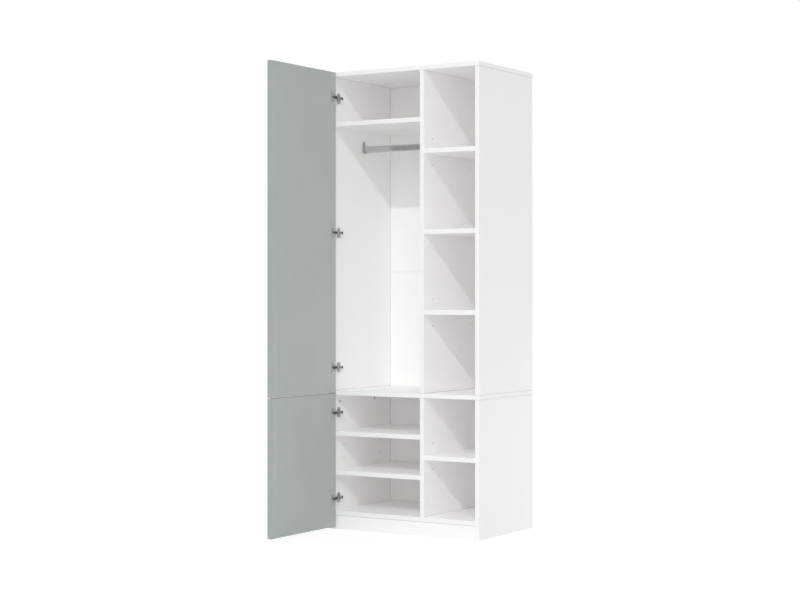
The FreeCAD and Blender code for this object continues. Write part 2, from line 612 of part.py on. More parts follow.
# Doors, with the finger groove along the free edge next to the gap between them
# The groove is deepest at its lip, where the fingertips hook in, and runs out in a long curve
GROOVE_RADIUS = "((groove_width ^ 2 + groove_depth ^ 2) / (2 * groove_depth))"
GROOVE_X = "%s + %s - groove_depth" % (DOOR_FACE, GROOVE_RADIUS)
GROOVE_Y = DOOR_EDGE + " - door_width + groove_lip"
UPPER_DOOR_LOW = SPLIT + " + door_split / 2"
LOWER_DOOR_TOP = SPLIT + " - door_split / 2"
DOORS = {
    "upper": (UPPER_DOOR_LOW, "case_height - door_top_gap", UPPER_DOOR_LOW + " + groove_end"),
    "lower": ("door_floor_gap", LOWER_DOOR_TOP, LOWER_DOOR_TOP + " - groove_end - groove_length"),
}
for door, (low, high, groove_low) in DOORS.items():
    blank = block(door + "_blank", (DOOR_FACE + " - door_board", DOOR_EDGE + " - door_width", low),
                  ("door_board", "door_width", "%s - (%s)" % (high, low)))
    panel = softened("Part::Fillet", door + "_panel", blank, every_edge, "door_round")
    ends = [groove_low + " + groove_width", groove_low + " + groove_length - groove_width"]
    curve = [rod("groove_run_" + door, "z", (GROOVE_X, GROOVE_Y, ends[0]), GROOVE_RADIUS,
                 "groove_length - 2 * groove_width")]
    for way, z in zip(("low", "high"), ends):
        curve.append(ball("groove_%s_%s" % (door, way), (GROOVE_X, GROOVE_Y, z), GROOVE_RADIUS))
    room = block("groove_room_" + door, (DOOR_FACE + " - groove_depth", GROOVE_Y, groove_low),
                 ("2 * groove_depth", "groove_width", "groove_length"))
    drill(door + "_door", shared("groove_" + door, [joined("groove_curve_" + door, curve), room]))
    export(cut(door + "_door_solid", panel, holes[door + "_door"]), door + "_door")

# Clothes rail between two sockets
RAIL_Y = FRONT + " + rail_back"
RAIL_Z = HAT_LOW + " - rail_drop"
LEFT_WIDTH = "(case_width - 3 * board - right_bay)"


def oval(name, x, length, grow):
    """An upright oval bar along X, larger all round than the rail by grow."""
    straight = "((rail_height - rail_thick) / 2)"
    radius = "(rail_thick / 2 + %s)" % grow
    core = block(name + "_core", (x, "%s - %s" % (RAIL_Y, radius), "%s - %s" % (RAIL_Z, straight)),
                 (length, "2 * " + radius, "2 * " + straight))
    heights = [("low", "%s - %s" % (RAIL_Z, straight)), ("high", "%s + %s" % (RAIL_Z, straight))]
    rounds = [rod("%s_%s" % (name, way), "x", (x, RAIL_Y, z), radius, length) for way, z in heights]
    return joined(name, [core] + rounds)


rail_start = LEFT_IN + " + socket_base + fit"
rail_length = LEFT_WIDTH + " - 2 * (socket_base + fit)"
rail_outer = oval("rail_outer", rail_start, rail_length, "0")
rail_bore = oval("rail_bore", rail_start, rail_length, "(-rail_wall)")
export(cut("rail_solid", rail_outer, [rail_bore]), "clothes_rail")
sockets = []
socket_screws = []
SOCKET_WIDE = "(rail_thick + 2 * socket_wall)"
SOCKET_LOW = "(%s - rail_height / 2 - socket_wall)" % RAIL_Z
SOCKET_TALL = "(rail_height + 2 * socket_wall + socket_lug)"
CRADLE_TOP = "%s + (rail_height - rail_thick) / 2" % RAIL_Z
for side, face, inward in (("left", LEFT_IN, 1), ("right", DIVIDER_LEFT, -1)):
    plate_x = face + ("" if inward > 0 else " - socket_base")
    plate = tablet("socket_plate_" + side, plate_x, RAIL_Y, "(%s + %s / 2)" % (SOCKET_LOW, SOCKET_TALL),
                   "socket_base", SOCKET_WIDE, SOCKET_TALL)
    cradle_x = face + (" + socket_base" if inward > 0 else " - socket_base - socket_depth")
    cradle = oval("socket_cradle_" + side, cradle_x, "socket_depth", "socket_wall")
    mouth = block("socket_mouth_" + side, (cradle_x, "%s - %s / 2" % (RAIL_Y, SOCKET_WIDE), CRADLE_TOP),
                  ("socket_depth", SOCKET_WIDE, "rail_thick / 2 + socket_wall"))
    tools = [oval("socket_bore_" + side, cradle_x, "socket_depth", "fit"), mouth]
    wall = "upper_side_left" if inward > 0 else "upper_divider"
    # one screw above the rail, one behind its hollow end
    upper_z = "%s + %s - %s / 2" % (SOCKET_LOW, SOCKET_TALL, SOCKET_WIDE)
    for way, z in (("inner", RAIL_Z), ("upper", upper_z)):
        head_face = (face + (" + socket_base" if inward > 0 else " - socket_base"), RAIL_Y, z)
        socket_screws.append(screw("socket_screw_%s_%s" % (side, way), "x", head_face, "screw_radius",
                                   "screw_head_radius", "screw_head", "screw_length", inward))
        hole_x = face + (" + socket_base - screw_length - fit" if inward > 0 else " - socket_base")
        hole = rod("socket_hole_%s_%s" % (side, way), "x", (hole_x, RAIL_Y, z), SCREW_BORE,
                   "screw_length + fit")
        tools.append(hole)
        drill(wall, hole)
    sockets.append(cut("socket_" + side, joined("socket_body_" + side, [plate, cradle]), tools))

# Boards: name, low corner, size
INNER_WIDTH = "(case_width - 2 * board)"
UPPER_RUN = "case_height - mid_height - 2 * board"
BOARDS = [
    ("top_panel", (LEFT, FRONT, TOP_LOW), ("case_width", "case_depth", "board")),
    ("mid_panel", (LEFT, FRONT, "mid_height"), ("case_width", "case_depth", "board")),
    ("bottom_panel", (LEFT_IN, FRONT, "plinth_height"), (INNER_WIDTH, "case_depth", "board")),
    ("plinth", (LEFT_IN, FRONT + " + plinth_setback", "0"), (INNER_WIDTH, "board", "plinth_height")),
    ("upper_side_left", (LEFT, FRONT, MID_TOP), ("board", "case_depth", UPPER_RUN)),
    ("upper_side_right", (RIGHT_IN, FRONT, MID_TOP), ("board", "case_depth", UPPER_RUN)),
    ("upper_divider", (DIVIDER_LEFT, FRONT, MID_TOP), ("board", INNER_DEPTH, UPPER_RUN)),
    ("lower_side_left", (LEFT, FRONT, "0"), ("board", "case_depth", "mid_height")),
    ("lower_side_right", (RIGHT_IN, FRONT, "0"), ("board", "case_depth", "mid_height")),
    ("lower_divider", (DIVIDER_LEFT, FRONT, FLOOR_TOP), ("board", INNER_DEPTH, "mid_height - " + FLOOR_TOP)),
    ("hat_shelf", (LEFT_IN, FRONT, HAT_LOW), (LEFT_WIDTH, INNER_DEPTH, "board")),
    ("upper_shelf_middle", (DIVIDER_RIGHT, FRONT, UPPER_MIDDLE + " - board / 2"),
     ("right_bay", INNER_DEPTH, "board")),
]
for shelf, bay, height, names, spare in LOOSE_SHELVES:
    x, width = (LEFT_IN, LEFT_WIDTH) if bay == "left" else (DIVIDER_RIGHT, "right_bay")
    BOARDS.append((shelf, (x + " + shelf_play / 2", FRONT, height + " - board / 2"),
                   (width + " - shelf_play", INNER_DEPTH + " - shelf_play", "board")))
for name, corner, size in BOARDS:
    blank = block(name + "_blank", corner, size)
    eased = softened("Part::Chamfer", name + "_eased", blank, every_edge, "board_ease")
    export(cut(name + "_solid", eased, holes[name]), name)
for sheet_name, low, high, names in SHEETS:
    blank = block(sheet_name + "_blank", (rebate_x + " + back_play", BACK_FACE, low),
                  (rebate_width + " - 2 * back_play", "back_board", "%s - (%s)" % (high, low)))
    export(cut(sheet_name + "_solid", blank, holes[sheet_name]), sheet_name)

# Groups of like pieces
GROUPS = [
    ("dowels", dowels), ("shelf_pins", pins), ("cam_locks", cams), ("cam_bolts", bolts),
    ("back_screws", back_screws), ("rail_sockets", sockets), ("rail_screws", socket_screws),
    ("hinge_plates", hinge["plates"]), ("hinge_arms", hinge["arms"]), ("hinge_arm_pins", hinge["arm_pins"]),
    ("hinge_plate_screws", hinge["plate_screws"]), ("hinge_arm_screws", hinge["arm_screws"]),
]
for (key, door), pieces in moving.items():
    GROUPS.append(("%s_hinge_%s" % (door, key), pieces))
for name, pieces in GROUPS:
    export(group(name + "_group", pieces), name)

doc.recompute()
for item in doc.Objects:
    if "Invalid" in item.State or "Error" in item.State:
        raise RuntimeError("%s did not build: %s" % (item.Name, item.State))
for item in exported:
    if item.Shape.isNull() or not item.Shape.isValid():
        raise RuntimeError("%s has no valid shape" % item.Label)

os.makedirs("parts", exist_ok=True)
for item in exported:
    item.Shape.exportStep("parts/%s.step" % item.Label)
print("%d sub-parts written" % len(exported))
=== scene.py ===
import json
import math

import bmesh
import bpy
from mathutils import Matrix, Vector

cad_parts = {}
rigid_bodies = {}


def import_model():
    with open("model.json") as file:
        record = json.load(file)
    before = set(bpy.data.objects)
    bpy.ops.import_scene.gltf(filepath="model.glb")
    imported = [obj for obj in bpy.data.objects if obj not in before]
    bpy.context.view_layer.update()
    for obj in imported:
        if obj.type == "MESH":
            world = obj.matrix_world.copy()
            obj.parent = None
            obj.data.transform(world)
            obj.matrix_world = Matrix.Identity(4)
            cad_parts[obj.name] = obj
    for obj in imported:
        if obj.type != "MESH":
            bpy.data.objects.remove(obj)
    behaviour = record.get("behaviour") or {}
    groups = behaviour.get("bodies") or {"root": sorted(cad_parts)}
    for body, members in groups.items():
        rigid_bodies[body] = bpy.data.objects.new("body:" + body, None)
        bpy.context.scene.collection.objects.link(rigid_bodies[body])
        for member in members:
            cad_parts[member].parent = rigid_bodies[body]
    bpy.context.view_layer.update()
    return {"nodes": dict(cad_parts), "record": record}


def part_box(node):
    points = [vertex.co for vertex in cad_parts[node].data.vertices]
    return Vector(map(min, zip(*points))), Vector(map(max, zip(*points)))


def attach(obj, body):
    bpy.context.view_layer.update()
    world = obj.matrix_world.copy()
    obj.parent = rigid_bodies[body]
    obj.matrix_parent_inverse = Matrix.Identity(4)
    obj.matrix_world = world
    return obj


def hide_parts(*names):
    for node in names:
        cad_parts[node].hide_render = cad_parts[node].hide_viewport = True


# Looks of the two-door wardrobe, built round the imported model, in metres and in the model's frame

for leftover in list(bpy.data.objects):
    bpy.data.objects.remove(leftover)

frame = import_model()

MILLIMETRE = 0.001


# Helpers for meshes and objects

def mesh_of(shape, name):
    """A mesh made from an editable shape, which is then freed."""
    mesh = bpy.data.meshes.new(name)
    shape.to_mesh(mesh)
    shape.free()
    return mesh


def placed(name, data):
    """A new object in the scene."""
    item = bpy.data.objects.new(name, data)
    bpy.context.scene.collection.objects.link(item)
    return item


# Helpers for nodes

# Most of a noise texture's values lie between these two
NOISE_LOW = 0.3
NOISE_HIGH = 0.7

# The mix node's sockets share their names, so they are taken by number
MIX_FACTOR = 0
NUMBER_FIRST = 2
NUMBER_SECOND = 3
NUMBER_RESULT = 0
COLOUR_FIRST = 6
COLOUR_SECOND = 7
COLOUR_RESULT = 2


def start(name):
    """A new node material with its tree and its shader."""
    material = bpy.data.materials.new(name)
    material.use_nodes = True
    tree = material.node_tree
    return material, tree, tree.nodes["Principled BSDF"]


def add(tree, kind, values=None, **settings):
    """A node with its settings and socket values."""
    node = tree.nodes.new(kind)
    for name, setting in settings.items():
        setattr(node, name, setting)
    for socket, value in (values or {}).items():
        node.inputs[socket].default_value = value
    return node


def place_coordinates(tree, stretch=(1, 1, 1)):
    """Coordinates that stay with the piece, stretched along its axes."""
    source = add(tree, "ShaderNodeTexCoord")
    mapping = add(tree, "ShaderNodeMapping", {"Scale": stretch})
    tree.links.new(source.outputs["Object"], mapping.inputs["Vector"])
    return mapping.outputs["Vector"]


def box_shares(tree):
    """Coordinates that run from 0 to 1 across the piece's box."""
    return add(tree, "ShaderNodeTexCoord").outputs["Generated"]


def noise(tree, coordinates, grain, detail=2.0, rough=0.5, distortion=0.0):
    """Noise whose lumps are about one grain across."""
    texture = add(tree, "ShaderNodeTexNoise",
                  {"Scale": 1 / grain, "Detail": detail, "Roughness": rough, "Distortion": distortion})
    tree.links.new(coordinates, texture.inputs["Vector"])
    return texture.outputs["Fac"]


def spread(tree, factor, low, high, first=NOISE_LOW, last=NOISE_HIGH):
    """A factor mapped from the span between first and last to the span between low and high."""
    mapped = add(tree, "ShaderNodeMapRange",
                 {"From Min": first, "From Max": last, "To Min": low, "To Max": high})
    tree.links.new(factor, mapped.inputs["Value"])
    return mapped.outputs["Result"]


def tones(tree, factor, dark, light):
    """A blend between two colours along a noise factor."""
    ramp = add(tree, "ShaderNodeValToRGB")
    stops = zip(ramp.color_ramp.elements, (NOISE_LOW, NOISE_HIGH), (dark, light))
    for stop, position, colour in stops:
        stop.position = position
        stop.color = (*colour, 1)
    tree.links.new(factor, ramp.inputs["Fac"])
    return ramp.outputs["Color"]


def joined(tree, first, second, operation="ADD"):
    """Two factors added, or joined by another operation."""
    math_node = add(tree, "ShaderNodeMath", operation=operation)
    tree.links.new(first, math_node.inputs[0])
    tree.links.new(second, math_node.inputs[1])
    return math_node.outputs["Value"]


def near(tree, factor, middle, reach):
    """1 where a factor lies within reach of a middle value, else 0."""
    test = add(tree, "ShaderNodeMath", {1: middle, 2: reach}, operation="COMPARE")
    tree.links.new(factor, test.inputs[0])
    return test.outputs["Value"]


def axis_of(tree, vector, axis):
    """One part of a vector."""
    parts = add(tree, "ShaderNodeSeparateXYZ")
    tree.links.new(vector, parts.inputs["Vector"])
    return parts.outputs[axis]


def over(tree, base, cover, factor):
    """One colour laid over another where the factor is 1."""
    mix = add(tree, "ShaderNodeMix", data_type="RGBA")
    tree.links.new(factor, mix.inputs[MIX_FACTOR])
    tree.links.new(base, mix.inputs[COLOUR_FIRST])
    if isinstance(cover, tuple):
        mix.inputs[COLOUR_SECOND].default_value = (*cover, 1)
    else:
        tree.links.new(cover, mix.inputs[COLOUR_SECOND])
    return mix.outputs[COLOUR_RESULT]


def finish_coat(tree, shader, colour, roughness):
    """Gives a shader its colour and its roughness."""
    tree.links.new(colour, shader.inputs["Base Color"])
    tree.links.new(roughness, shader.inputs["Roughness"])


def relief(tree, shader, height, depth, strength):
    """Fine relief on a shader."""
    bump = add(tree, "ShaderNodeBump", {"Strength": strength, "Distance": depth})
    tree.links.new(height, bump.inputs["Height"])
    tree.links.new(bump.outputs["Normal"], shader.inputs["Normal"])


# White boards

PLINTH_LOW, PLINTH_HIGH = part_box("plinth")
MIDDLE_LOW, MIDDLE_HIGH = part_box("mid_panel")
BOARD_JOINTS = [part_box("top_panel")[0].z, MIDDLE_HIGH.z, MIDDLE_LOW.z]
BACK_JOINTS = [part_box("upper_back_low")[1].z]
# Painted shade: a fine dark line on the eased edges at the joints, and in the corners
JOINT_REACH = 1.1 * MILLIMETRE
JOINT_SHADE_TONE = (0.70, 0.70, 0.70)

# The height of the walls' feet in the upper part and in the lower right bay, and where each line of
# painted shade starts
FEET = ((MIDDLE_HIGH.z, PLINTH_LOW.x),
        (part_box("bottom_panel")[1].z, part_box("lower_divider")[0].x))
FOOT_REACH = 2.4 * MILLIMETRE
FOOT_SHADE_TONE = (0.62, 0.62, 0.62)

BACK_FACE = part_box("upper_back_high")[0].y
CREASE_REACH = 1.6 * MILLIMETRE
CREASE_INSET = 1.1 * CREASE_REACH
FACE_REACH = 0.5 * MILLIMETRE
# A face looks along an axis where that part of its normal is larger than this
FACING = 0.9

WHITE_DARK = (0.9500, 0.9460, 0.9455)
WHITE_LIGHT = (0.9620, 0.9580, 0.9575)
WHITE_ROUGHNESS = (0.40, 0.48)
WHITE_SPECULAR = 0.35
CLOUD_GRAIN = 180 * MILLIMETRE
PEARL_GRAIN = 0.7 * MILLIMETRE
PEARL_DEPTH = 0.05 * MILLIMETRE
PEARL_STRENGTH = 0.25

# The front edge band: smoother, and painted a touch darker as shade
BAND_REACH = 0.6 * MILLIMETRE
BAND_SHADE_TONE = (0.915, 0.915, 0.912)
BAND_SMOOTHNESS = 0.10

# The raw chipboard core in holes, painted far darker than chipboard as the shade in them
CORE_SHARE = 0.03
CORE_AND_SHADE_DARK = (0.030, 0.023, 0.017)
CORE_AND_SHADE_LIGHT = (0.070, 0.055, 0.041)
CHIP_GRAIN = 1.5 * MILLIMETRE


def facing_away(tree, axis):
    """1 on faces that don't look along an axis, else 0."""
    normal = add(tree, "ShaderNodeNewGeometry").outputs["True Normal"]
    return near(tree, axis_of(tree, normal, axis), 0, FACING)


def joint_shade_lines(tree, coordinates, heights):
    """1 on the eased edges where upright boards meet level ones, where a fine line of shade is painted.
    """
    height = axis_of(tree, coordinates, "Z")
    lines = near(tree, height, heights[0], JOINT_REACH)
    for level in heights[1:]:
        lines = joined(tree, lines, near(tree, height, level, JOINT_REACH), "MAXIMUM")
    return joined(tree, lines, facing_away(tree, "Z"), "MULTIPLY")


def across_case(tree, coordinates, left):
    """1 from a place on the left to the inner face of the case's right side, both included, else 0."""
    middle = (left + PLINTH_HIGH.x) / 2
    return near(tree, axis_of(tree, coordinates, "X"), middle, PLINTH_HIGH.x - middle + FACE_REACH)


def foot_shade_lines(tree, coordinates):
    """1 at the foot of the walls on the middle panel, and of the lower right bay's walls, where a line
    of shade is painted.
    """
    lines = []
    for height, left in FEET:
        level = near(tree, axis_of(tree, coordinates, "Z"), height, FOOT_REACH)
        lines.append(joined(tree, level, across_case(tree, coordinates, left), "MULTIPLY"))
    return joined(tree, joined(tree, *lines, "MAXIMUM"), facing_away(tree, "X"), "GREATER_THAN")


def crease_shade(tree, coordinates):
    """1 in the case's corners along the back, and on the front above the plinth, where shade is painted.
    """
    inside = across_case(tree, coordinates, PLINTH_LOW.x)
    corner = near(tree, axis_of(tree, coordinates, "Y"), BACK_FACE - CREASE_INSET, CREASE_REACH)
    above = near(tree, axis_of(tree, coordinates, "Z"), PLINTH_HIGH.z, CREASE_REACH)
    return joined(tree, joined(tree, corner, above, "MAXIMUM"), inside, "MULTIPLY")


def inside_board(tree):
    """1 in holes that go into a board, which lie away from all faces of the board's box, else 0."""
    shares = box_shares(tree)
    tests = [near(tree, axis_of(tree, shares, axis), 0.5, 0.5 - CORE_SHARE) for axis in "XYZ"]
    return joined(tree, joined(tree, tests[0], tests[1], "MULTIPLY"), tests[2], "MULTIPLY")


def faced_board(name, joints):
    """White melamine with a fine pearl grain on a raw core, painted dark as the shade in its holes.

    The banded front edges are smoother and painted a touch darker as shade, and painted shade lines the
    joints, the corners and the walls' feet.
    """
    material, tree, shader = start(name)
    coordinates = place_coordinates(tree)
    cloud = noise(tree, coordinates, CLOUD_GRAIN, detail=3)
    pearl = noise(tree, coordinates, PEARL_GRAIN, detail=2, rough=0.6)
    chips = noise(tree, coordinates, CHIP_GRAIN, detail=3)
    front = near(tree, axis_of(tree, coordinates, "Y"), 0, BAND_REACH)
    face = over(tree, tones(tree, cloud, WHITE_DARK, WHITE_LIGHT), BAND_SHADE_TONE, front)
    # Painted shade: lines at the joints, in the corners and at the walls' feet
    face = over(tree, face, JOINT_SHADE_TONE, joint_shade_lines(tree, coordinates, joints))
    face = over(tree, face, JOINT_SHADE_TONE, crease_shade(tree, coordinates))
    face = over(tree, face, FOOT_SHADE_TONE, foot_shade_lines(tree, coordinates))
    face = over(tree, face, tones(tree, chips, CORE_AND_SHADE_DARK, CORE_AND_SHADE_LIGHT), inside_board(tree))
    roughness = joined(tree, spread(tree, cloud, *WHITE_ROUGHNESS),
                       spread(tree, front, 0, -BAND_SMOOTHNESS, first=0, last=1))
    finish_coat(tree, shader, face, roughness)
    relief(tree, shader, pearl, PEARL_DEPTH, PEARL_STRENGTH)
    shader.inputs["Specular IOR Level"].default_value = WHITE_SPECULAR
    return material


# Lacquered doors

SAGE_DARK = (0.438, 0.475, 0.463)
SAGE_LIGHT = (0.464, 0.501, 0.489)
SAGE_ROUGHNESS = (0.52, 0.60)
SAGE_SPECULAR = 0.3
DRIFT_GRAIN = 260 * MILLIMETRE
PEEL_GRAIN = 2.2 * MILLIMETRE
PEEL_DEPTH = 0.08 * MILLIMETRE
PEEL_STRENGTH = 0.25

FREE_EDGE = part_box("upper_door")[0].y
# Painted shade: the doors' free edges a touch deeper
FREE_EDGE_SHADE_TONE = (0.370, 0.401, 0.390)
SEAM_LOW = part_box("lower_door")[1].z
SEAM_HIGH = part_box("upper_door")[0].z
SEAM_RIM = 0.7 * MILLIMETRE
SEAM_REACH = (SEAM_HIGH - SEAM_LOW) / 2 + SEAM_RIM
# Painted shade in the seam between the doors, on their facing edges and a thin rim of their faces
SEAM_SHADE_TONE = (0.175, 0.190, 0.185)


def lacquer(name):
    """Matt sprayed lacquer with a faint orange peel and a slow drift of tone.

    Painted shade makes it deeper on the doors' free edges, and deepest in the seam between the doors.
    """
    material, tree, shader = start(name)
    coordinates = place_coordinates(tree)
    drift = noise(tree, coordinates, DRIFT_GRAIN, detail=3)
    peel = noise(tree, coordinates, PEEL_GRAIN, detail=3, rough=0.55)
    edge = near(tree, axis_of(tree, coordinates, "Y"), FREE_EDGE, BAND_REACH)
    seam = near(tree, axis_of(tree, coordinates, "Z"), (SEAM_LOW + SEAM_HIGH) / 2, SEAM_REACH)
    coat = over(tree, tones(tree, drift, SAGE_DARK, SAGE_LIGHT), FREE_EDGE_SHADE_TONE, edge)
    coat = over(tree, coat, SEAM_SHADE_TONE, seam)
    finish_coat(tree, shader, coat, spread(tree, drift, *SAGE_ROUGHNESS))
    relief(tree, shader, peel, PEEL_DEPTH, PEEL_STRENGTH)
    shader.inputs["Specular IOR Level"].default_value = SAGE_SPECULAR
    return material


# Metals and wood

LINE_SPAN = 0.02
LINE_DEPTH = 0.02 * MILLIMETRE
LINE_STRENGTH = 0.06
SMUDGE_GRAIN = 25 * MILLIMETRE
SMUDGE_SPAN = (-0.005, 0.01)

BLOOM_SPAN = 0.06
MARKS_PER_GRAIN = 12
MARK_SPAN = (-0.04, 0.06)
MARK_DEPTH = 0.03 * MILLIMETRE
MARK_STRENGTH = 0.25

# Painted light: the cup's hollow, which lies in shade, is made bright
CUP_INSIDE_LIGHT = (0.80, 0.81, 0.80)
CUP_DEPTH = 0.86

BEECH_DARK = (0.46, 0.29, 0.16)
BEECH_LIGHT = (0.68, 0.49, 0.31)
BEECH_ROUGHNESS = (0.55, 0.75)
FIBRE_STRETCH = (1, 6, 1)
FIBRE_GRAIN = 2 * MILLIMETRE
FIBRE_DEPTH = 0.1 * MILLIMETRE
FIBRE_STRENGTH = 0.4


def drawn_metal(name, dark, light, stretch, grain, rough):
    """Metal with lines drawn along its length, which is the axis that is stretched least."""
    material, tree, shader = start(name)
    lines = noise(tree, place_coordinates(tree, stretch), grain, detail=4, rough=0.6)
    smudge = noise(tree, place_coordinates(tree), SMUDGE_GRAIN, detail=2)
    roughness = joined(tree, spread(tree, lines, rough - LINE_SPAN, rough + LINE_SPAN),
                       spread(tree, smudge, *SMUDGE_SPAN))
    finish_coat(tree, shader, tones(tree, lines, dark, light), roughness)
    relief(tree, shader, lines, LINE_DEPTH, LINE_STRENGTH)
    shader.inputs["Metallic"].default_value = 1
    return material


def plated_metal(name, dark, light, grain, rough, metallic=1):
    """Stamped and plated metal with a cloudy bloom and fine marks; satin plating is less metallic."""
    material, tree, shader = start(name)
    coordinates = place_coordinates(tree)
    bloom = noise(tree, coordinates, grain, detail=3, distortion=0.4)
    marks = noise(tree, coordinates, grain / MARKS_PER_GRAIN, detail=3, rough=0.65)
    roughness = joined(tree, spread(tree, bloom, rough - BLOOM_SPAN, rough + BLOOM_SPAN),
                       spread(tree, marks, *MARK_SPAN))
    finish_coat(tree, shader, tones(tree, bloom, dark, light), roughness)
    relief(tree, shader, marks, MARK_DEPTH, MARK_STRENGTH)
    shader.inputs["Metallic"].default_value = metallic
    return material


def cup_metal(name, **plating):
    """Satin plating on a hinge cup's rim, with painted light brightening the shaded hollow below it."""
    material = plated_metal(name, **plating)
    tree = material.node_tree
    colour = tree.nodes["Principled BSDF"].inputs["Base Color"]
    rim = colour.links[0].from_socket
    inside = near(tree, axis_of(tree, box_shares(tree), "X"), 0, CUP_DEPTH)
    tree.links.new(over(tree, rim, CUP_INSIDE_LIGHT, inside), colour)
    return material


def beech(name):
    """Raw beech with grain along the dowel and short dark flecks."""
    material, tree, shader = start(name)
    fibre = noise(tree, place_coordinates(tree, FIBRE_STRETCH), FIBRE_GRAIN, detail=4, rough=0.6)
    finish_coat(tree, shader, tones(tree, fibre, BEECH_DARK, BEECH_LIGHT),
                spread(tree, fibre, *BEECH_ROUGHNESS))
    relief(tree, shader, fibre, FIBRE_DEPTH, FIBRE_STRENGTH)
    return material


# A material for every piece, by the slot that its record gives it

MATERIALS = {
    "white_board": faced_board("white_board", BOARD_JOINTS),
    "white_back": faced_board("white_back", BACK_JOINTS),
    "sage_lacquer": lacquer("sage_lacquer"),
    "beech": beech("beech"),
    "rail_aluminium": drawn_metal(
        "rail_aluminium", dark=(0.570, 0.562, 0.562), light=(0.602, 0.594, 0.594),
        stretch=(0.01, 1, 1), grain=1.2 * MILLIMETRE, rough=0.18),
    "socket_zinc": plated_metal(
        "socket_zinc", dark=(0.42, 0.425, 0.43), light=(0.52, 0.525, 0.53),
        grain=6 * MILLIMETRE, rough=0.36),
    "zinc_steel": plated_metal(
        "zinc_steel", dark=(0.50, 0.51, 0.52), light=(0.64, 0.65, 0.66),
        grain=5 * MILLIMETRE, rough=0.32),
    "nickel_steel": plated_metal(
        "nickel_steel", dark=(0.38, 0.38, 0.37), light=(0.52, 0.52, 0.51),
        grain=8 * MILLIMETRE, rough=0.32, metallic=0.7),
    "bright_nickel": cup_metal(
        "bright_nickel", dark=(0.36, 0.375, 0.365), light=(0.44, 0.455, 0.445),
        grain=8 * MILLIMETRE, rough=0.40, metallic=0.3),
    # Painted shade: this plating is made near black to stand in for the dark reflections in the hinge
    # links
    "dark_steel": plated_metal(
        "dark_steel", dark=(0.055, 0.055, 0.055), light=(0.10, 0.10, 0.098),
        grain=6 * MILLIMETRE, rough=0.35),
}

SLOT_OF = {row["node"]: row["material_slot"] for row in frame["record"]["subparts"]}
for name, piece in frame["nodes"].items():
    piece.data.materials.clear()
    piece.data.materials.append(MATERIALS[SLOT_OF[name]])


# Screws with a cross recess, one in the place of each plain one

WELD = 0.001 * MILLIMETRE
SCREW_STEP = 0.1 * MILLIMETRE
LATHE_STEPS = 20
SHARP_ANGLE = math.radians(35)
ROUND_HEAD = 1
FLAT_HEAD = 0

# Shares of the head's radius: the head's points lie beyond the first, the stem's within the second
HEAD_SHARE = 0.9
STEM_SHARE = 0.7

# The dome's points, as shares of the head's radius and height
DOME = ((0.55, 0.10), (0.86, 0.35), (1, 0.75))

# Shares of the stem's radius
THREAD_PITCH = 0.9
THREAD_ROOT = 0.72

# Shares of the head's width and height, and how much the recess narrows
RECESS_LONG = 0.62
RECESS_THIN = 0.16
CUTTER_HEIGHT = 1.3
RECESS_TAPER = 0.55


def solids_of(node):
    """The points of each separate solid of a CAD node."""
    mesh = bmesh.new()
    mesh.from_mesh(frame["nodes"][node].data)
    bmesh.ops.remove_doubles(mesh, verts=mesh.verts, dist=WELD)
    seen = set()
    solids = []
    for first in mesh.verts:
        if first in seen:
            continue
        seen.add(first)
        waiting = [first]
        points = []
        while waiting:
            vertex = waiting.pop()
            points.append(vertex.co.copy())
            for edge in vertex.link_edges:
                other = edge.other_vert(vertex)
                if other not in seen:
                    seen.add(other)
                    waiting.append(other)
        solids.append(points)
    mesh.free()
    return solids


def screw_place(points):
    """Where a screw's head ends, the way it points, its length, its two radii and its head's height."""
    low = Vector(map(min, zip(*points)))
    high = Vector(map(max, zip(*points)))
    middle = (low + high) / 2
    size = high - low
    along = max(range(3), key=lambda side: size[side])
    axis = Vector([float(index == along) for index in range(3)])
    heights = [(point - middle).dot(axis) for point in points]
    spans = [((point - middle) - axis * height).length for point, height in zip(points, heights)]
    head_radius = max(spans)
    head = [height for height, span in zip(heights, spans) if span > HEAD_SHARE * head_radius]
    stem_radius = max(span for span in spans if span < STEM_SHARE * head_radius)
    if min(head) + max(head) < 0:
        axis = -axis
    end = middle + axis * size[along] / 2
    return end, axis, size[along], head_radius, stem_radius, max(head) - min(head)


def lathe(mesh, profile):
    """Turns a profile of (radius, height) points about Z; end points on the axis close it."""
    rings = []
    for radius, height in profile:
        ring = []
        for step in range(LATHE_STEPS if radius else 1):
            turn = math.tau * step / LATHE_STEPS
            ring.append(mesh.verts.new((radius * math.cos(turn), radius * math.sin(turn), height)))
        rings.append(ring)
    for lower, upper in zip(rings, rings[1:]):
        for step in range(LATHE_STEPS):
            after = (step + 1) % LATHE_STEPS
            corners = []
            for ring, index in ((lower, step), (lower, after), (upper, after), (upper, step)):
                corner = ring[index % len(ring)]
                if corner not in corners:
                    corners.append(corner)
            mesh.faces.new(corners)


def screw_blank(length, head_radius, stem_radius, head_height, dome):
    """A screw without a recess, whose head ends at the origin and points along Z."""
    pitch = THREAD_PITCH * stem_radius
    root = THREAD_ROOT * stem_radius
    profile = [(0, 0)]
    profile += [(span * head_radius, -drop * dome * head_height) for span, drop in DOME]
    profile += [(head_radius, -head_height), (stem_radius, -head_height)]
    height = -head_height - pitch
    while height > -length + 2 * pitch:
        profile += [(root, height), (stem_radius, height - 0.5 * pitch)]
        height -= pitch
    profile += [(root, height), (0, -length)]
    shape = bmesh.new()
    lathe(shape, profile[::-1])
    return mesh_of(shape, "screw_blank")


